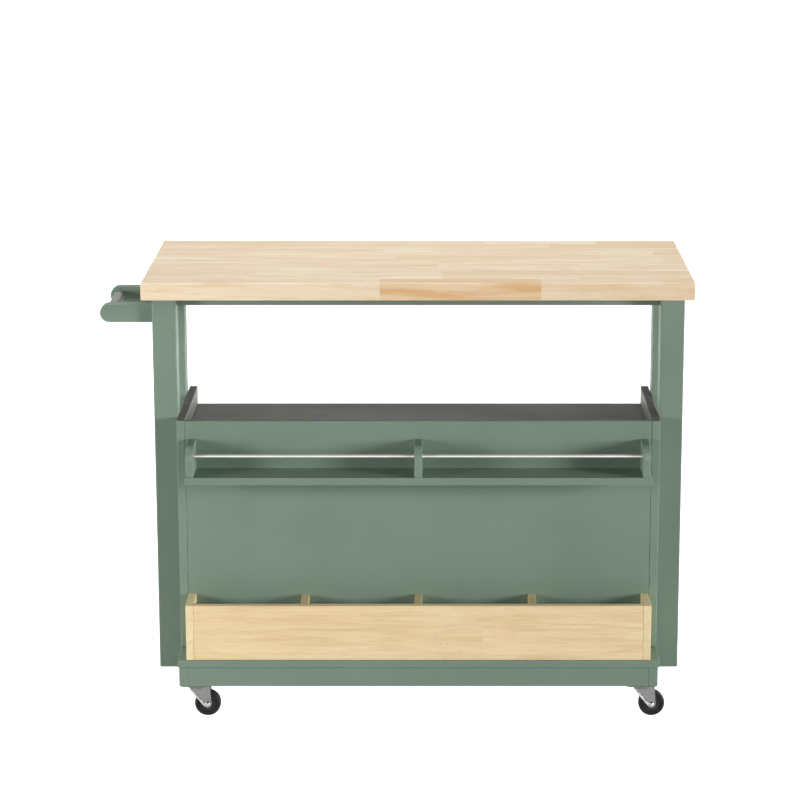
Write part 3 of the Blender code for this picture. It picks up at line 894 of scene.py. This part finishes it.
def make_hinges():
    """Two butt hinges to a door: knuckles round a pin, one leaf on the cabinet, one on the door."""
    pin_radius = 0.0019
    length = 2 * HINGE_HALF / KNUCKLES
    knuckle = [(0, 0), (pin_radius, 0), (pin_radius, length - HAIR), (0, length - HAIR)]
    for joint in frame["joints"]:
        if not joint["name"].endswith("door_hinge"):
            continue
        side = joint["name"].split("_")[0]
        axle = Vector(joint["pos_m"])
        door_low, door_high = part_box(f"door_{side}")
        edge = door_low.x - HAIR / 2 - LEAF if side == "left" else door_high.x + HAIR / 2
        near = axle.y - 3 * HAIR
        cart_shape, door_shape = bmesh.new(), bmesh.new()
        for middle in hinge_middles(side):
            low, high = middle - HINGE_HALF, middle + HINGE_HALF
            for step in range(KNUCKLES):
                target = cart_shape if step % 2 == 0 else door_shape
                add_turned(target, knuckle, (axle.x, axle.y, low + step * length + HAIR / 2), Z, 16)
            add_box(door_shape, (edge, door_low.y + 0.001, low), (edge + LEAF, near, high))
            add_cabinet_leaf(cart_shape, side, axle, low, high)
        hinge = shown(f"{side}_hinge_cabinet_leaves", cart_shape, DARK_ZINC)
        kept(hinge, "cart", "zinc_plate")
        hinge = shown(f"{side}_hinge_door_leaves", door_shape, DARK_ZINC)
        kept(hinge, f"{side}_door", "zinc_plate")
    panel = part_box("side_panel_left")
    places = []
    for middle in hinge_middles("left"):
        for z in (middle - 0.012, middle + 0.012):
            places.append(((panel[0].x - HAIR - LEAF, panel[1].y - 0.011, z), (-1, 0, 0)))
    screws("hinge_screws", places, "cart", "zinc_plate", 0.0028, 0.0008, 0.0007)


def make_shelf_pins():
    radius, length = 0.0025, 0.009
    profile = [(0, 0), (radius, 0), (radius, length), (0, length)]
    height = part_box("cabinet_shelf")[0].z - 0.0028
    shape = bmesh.new()
    for y in (-0.095, 0.085):
        for start in (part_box("side_panel_left")[1].x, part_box("partition")[0].x - length):
            add_turned(shape, profile, (start, y, height), X, 16)
    pins = shown("shelf_pins", shape, ZINC_PLATE)
    pins.data.shade_smooth()
    pins.data.set_sharp_from_angle(angle=math.radians(40))
    kept(pins, "cart", "zinc_plate")


def make_post_bolts():
    """Bolt heads on the inside of the side panels, two to a post."""
    bolts = []
    for depth in ("back", "front"):
        for side, way in (("left", 1), ("right", -1)):
            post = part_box(f"post_{depth}_{side}")
            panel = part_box(f"side_panel_{side}")
            face = panel[1].x if way > 0 else panel[0].x
            for z in (0.185, 0.50):
                bolts.append(((face, (post[0].y + post[1].y) / 2, z), (way, 0, 0)))
    screws("post_bolts", bolts, "cart", "zinc_plate", 0.0075, 0.0022, 0.0022, 8, DARK_ZINC)


def make_rail_screws():
    """Screws up through the top rails into the worktop."""
    count = 5
    places = []
    for depth in ("back", "front"):
        low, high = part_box(f"top_rail_{depth}")
        for step in range(count):
            x = low.x + (step + 0.5) / count * (high.x - low.x)
            places.append(((x, (low.y + high.y) / 2, low.z), (0, 0, -1)))
    screws("rail_screws", places, "cart", "zinc_plate")


def make_battens():
    for side in ("left", "right"):
        node = f"caster_batten_{side}"
        shape = bmesh.new()
        add_box(shape, *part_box(node))
        item = rounded(shown(f"{node}_timber", shape, TIMBER[Y]), ARRIS, 2)
        kept(item, "cart", "pale_timber", node)


# ---------------------------------------------------------------- casters


def make_caster_mount(label):
    """The plate, with the fixed cup of the swivel race under it and four screws."""
    low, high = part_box(f"caster_plate_{label}")
    centre = (low + high) / 2
    inset = (high.x - low.x) / 2 - PLATE_CORNER
    under = high.z - PLATE_SHEET
    outline = []
    for quarter, (sx, sy) in enumerate(((1, 1), (-1, 1), (-1, -1), (1, -1))):
        middle = (centre.x + sx * inset, centre.y + sy * inset)
        outline += arc(middle, PLATE_CORNER, 90 * quarter, 90 * quarter + 90, 6)
    shape = bmesh.new()
    add_plate(shape, outline, Z, under, high.z)
    plate = rounded(shown(f"caster_plate_{label}_pressed", shape, DARK_ZINC), 0.0005, 2)
    kept(plate, "cart", "zinc_plate", f"caster_plate_{label}")
    drop = under - low.z
    race = [(0, 0), (RACE_RADIUS - 0.0018, 0), (RACE_RADIUS - 0.0008, 0.0006)]
    race += [(RACE_RADIUS - 0.0004, drop * 0.6), (RACE_RADIUS, drop), (0, drop)]
    # The fixed cup of the race is dark zinc: painted shade for the dark ring under the plate.
    cup = turned(f"caster_race_{label}", race, (centre.x, centre.y, low.z), Z, DARK_ZINC)
    kept(cup, "cart", "zinc_plate")
    spots = []
    for sx in (-1, 1):
        for sy in (-1, 1):
            spots.append(((centre.x + sx * PLATE_HOLES, centre.y + sy * PLATE_HOLES, under), (0, 0, -1)))
    screws(f"caster_screws_{label}", spots, "cart", "zinc_plate", 0.0040, 0.0016, 0.0011, 5)


def make_caster_legs(label, centre, axle, crown):
    """Two pressed legs joined by a shelf at the top, each with a flange bent out along its slope. The legs
    take a darker copy of the zinc as painted shade, and the flanges the brighter plate, so the flanges
    carry a painted highlight.
    """
    front, rear = centre.x + LEG_FRONT, centre.x + LEG_REAR
    top = crown - 0.0010
    outline = [(rear, top), (front, top), (front, top - 0.0065)]
    outline += arc((axle.x, axle.z), LEG_BOSS, 215, 362, 14)
    flange = [outline[2], outline[3]]
    slope = (Vector(flange[1]) - Vector(flange[0])).normalized()
    inwards = Vector((-slope.y, slope.x)) * 0.0034
    flange += [tuple(Vector(flange[1]) + inwards), tuple(Vector(flange[0]) + inwards)]
    legs, flanges = bmesh.new(), bmesh.new()
    for way in (-1, 1):
        inner = centre.y + way * LEG_INNER
        add_plate(legs, outline, Y, *sorted((inner, inner + way * PLATE_SHEET)))
        add_plate(flanges, flange, Y, *sorted((inner + way * 0.0004, inner + way * (PLATE_SHEET + 0.0009))))
    half = LEG_INNER + 0.0004
    add_box(legs, (front, centre.y - half, top - 0.0026), (rear, centre.y + half, top - 0.0001))
    fork = rounded(shown(f"caster_fork_{label}_pressed", legs, LEG_ZINC_SHADED), 0.0006, 2)
    kept(fork, f"swivel_{label}", "zinc_plate", f"caster_fork_{label}")
    # The flanges keep the brighter zinc, a painted highlight against the darkened legs.
    rims = rounded(shown(f"caster_fork_{label}_flanges", flanges, ZINC_PLATE), 0.0004, 2)
    kept(rims, f"swivel_{label}", "zinc_plate")


def make_caster_swivel(label, centre, axle, crown):
    """The turning cup of the race, its rivet, the axle and the axle's domed heads."""
    shape = bmesh.new()
    low = (centre.x, centre.y, crown - 0.0046)
    dish = [(0, 0), (0.0150, 0), (0.0186, 0.0008), (0.0202, 0.0022), (0.0206, 0.0046), (0, 0.0046)]
    add_turned(shape, dish, low, Z)
    # The turning cup takes the dark zinc: painted shade for the same dark ring.
    for face in shape.faces:
        face.material_index = 1
    rivet = [(0, -0.0022), (0.0036, -0.0020), (0.0056, -0.0008), (0.0060, 0), (0.0060, 0.002), (0, 0.002)]
    add_turned(shape, rivet, low, Z, 24)
    outer = LEG_INNER + PLATE_SHEET
    head = [(0, 0.0030), (0.0024, 0.0027), (0.0042, 0.0016), (0.0050, 0.0), (0.0050, -0.0004), (0, -0.0004)]
    for way in (-1, 1):
        dome = [(r, way * d) for r, d in head]
        add_turned(shape, dome, (axle.x, centre.y + way * outer, axle.z), Y, 24)
    pin = [(0, -LEG_INNER), (AXLE_RADIUS, -LEG_INNER), (AXLE_RADIUS, LEG_INNER), (0, LEG_INNER)]
    add_turned(shape, pin, tuple(axle), Y, 20)
    metal = shown(f"caster_swivel_{label}", shape, [ZINC_PLATE, DARK_ZINC])
    metal.data.shade_smooth()
    metal.data.set_sharp_from_angle(angle=math.radians(35))
    kept(metal, f"swivel_{label}", "zinc_plate")


def make_caster_wheel(label, axle, radius):
    """A moulded wheel turned from one section: hub, dished web, ribs and tread."""
    side = [(AXLE_BORE, -0.0104), (0.0078, -0.0104), (0.0088, -0.0096), (0.0096, -0.0070)]
    side += [(0.0172, -0.0066), (0.0184, -0.0084), (0.0200, -0.0088), (0.0204, -0.0082)]
    side += [(0.0210, -0.0082), (0.0214, -0.0088), (0.0236, -0.0086)]
    side += arc((radius - 0.0028, -0.0058), 0.0026, -65, -10, 4)
    side += [(radius, -0.0030), (radius, 0)]
    profile = side + [(r, -d) for r, d in reversed(side[:-1])]
    profile.append(profile[0])
    shape = bmesh.new()
    add_turned(shape, profile, tuple(axle), Y, 72)
    for face in shape.faces:
        spot = face.calc_center_median() - axle
        face.material_index = int(math.hypot(spot.x, spot.z) < HUB_EDGE)
    wheel = shown(f"caster_wheel_{label}_moulded", shape, [TYRE, HUB])
    wheel.data.shade_smooth()
    wheel.data.set_sharp_from_angle(angle=math.radians(38))
    kept(wheel, f"wheel_{label}", "black_rubber", f"caster_wheel_{label}")


def make_caster(label):
    plate_low, plate_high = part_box(f"caster_plate_{label}")
    wheel_low, wheel_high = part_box(f"caster_wheel_{label}")
    centre = (plate_low + plate_high) / 2
    axle = (wheel_low + wheel_high) / 2
    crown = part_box(f"caster_fork_{label}")[1].z
    make_caster_mount(label)
    make_caster_legs(label, centre, axle, crown)
    make_caster_swivel(label, centre, axle, crown)
    make_caster_wheel(label, axle, axle.z - wheel_low.z)


def make_casters():
    for depth in ("back", "front"):
        for side in ("left", "right"):
            make_caster(f"{depth}_{side}")


# ---------------------------------------------------------------- studio


def make_floor():
    """A plain white floor that gives off its own white, so that no shadow darkens it."""
    made, _, shader = new_material("studio floor", 0.9)
    shader.inputs["Base Color"].default_value = (0.86, 0.86, 0.86, 1.0)
    shader.inputs["Specular IOR Level"].default_value = 0.0
    shader.inputs["Emission Color"].default_value = (1.0, 1.0, 1.0, 1.0)
    shader.inputs["Emission Strength"].default_value = 1.0
    corners = [(x * FLOOR_REACH, y * FLOOR_REACH, 0) for x, y in ((-1, -1), (1, -1), (1, 1), (-1, 1))]
    shape = bmesh.new()
    shape.faces.new([shape.verts.new(corner) for corner in corners])
    floor = shown("studio_floor", shape, made)
    floor.visible_diffuse = False


def soft_light(name, place, aim, width, height, power):
    data = bpy.data.lights.new(name, "AREA")
    data.shape = "RECTANGLE"
    data.size = width
    data.size_y = height
    data.energy = power
    item = bpy.data.objects.new(name, data)
    bpy.context.scene.collection.objects.link(item)
    item.location = place
    item.rotation_euler = (Vector(aim) - Vector(place)).to_track_quat("-Z", "Y").to_euler()


def make_surround():
    """White to the camera. On the object it is dimmer, and stronger from below, as over a white floor."""
    world = bpy.data.worlds.new("studio")
    world.use_nodes = True
    tree = world.node_tree
    way = put(tree, "ShaderNodeTexCoord").outputs["Generated"]
    up = put(tree, "ShaderNodeSeparateXYZ", {"Vector": way}).outputs["Z"]
    dim = ranged(tree, up, -0.1, 0.1, FROM_BELOW, FROM_ABOVE)
    seen = put(tree, "ShaderNodeLightPath").outputs["Is Camera Ray"]
    surround = tree.nodes["Background"]
    surround.inputs["Color"].default_value = (1.0, 1.0, 1.0, 1.0)
    white = put(tree, "ShaderNodeMath", {0: seen, 1: dim}, operation="MAXIMUM").outputs[0]
    tree.links.new(white, surround.inputs["Strength"])
    bpy.context.scene.world = world


def make_lights():
    middle = (0, -0.1, 0.45)
    soft_light("left softbox", (-3.26, -1.67, 0.95), middle, 0.9, 0.9, 98)
    soft_light("right softbox", (10.9, -4.8, 2.1), middle, 2.8, 2.8, 1640)
    soft_light("overhead softbox", (0, 0.35, 3.2), (0, 0.2, 0.8), 2.4, 1.3, 54)
    soft_light("backdrop glow", (0, 5.0, 3.2), (0, 0, 0.9), 6.0, 1.6, 30)
    soft_light("far softbox left", (-2.8, 2.6, 0.9), middle, 1.5, 1.2, 45)
    soft_light("far softbox right", (2.8, 2.6, 0.9), middle, 1.5, 1.2, 45)


def make_camera():
    data = bpy.data.cameras.new("camera")
    data.sensor_width = 36.0
    data.lens = 118.26
    data.shift_x = -0.0403
    data.shift_y = -0.06
    data.clip_end = 200.0
    camera = bpy.data.objects.new("camera", data)
    bpy.context.scene.collection.objects.link(camera)
    camera.location = (0.07495, -5.149, 1.8481)
    camera.rotation_euler = (math.radians(90 - 12.609), 0, 0)
    bpy.context.scene.camera = camera


make_camera()
make_surround()
make_lights()
make_floor()
make_worktop()
make_painted_boards()
make_towel_rail()
make_spice_rack()
make_bottle_box()
make_fronts()
make_hinges()
make_shelf_pins()
make_post_bolts()
make_rail_screws()
make_battens()
make_casters()
bpy.context.scene.view_settings.view_transform = "Standard"
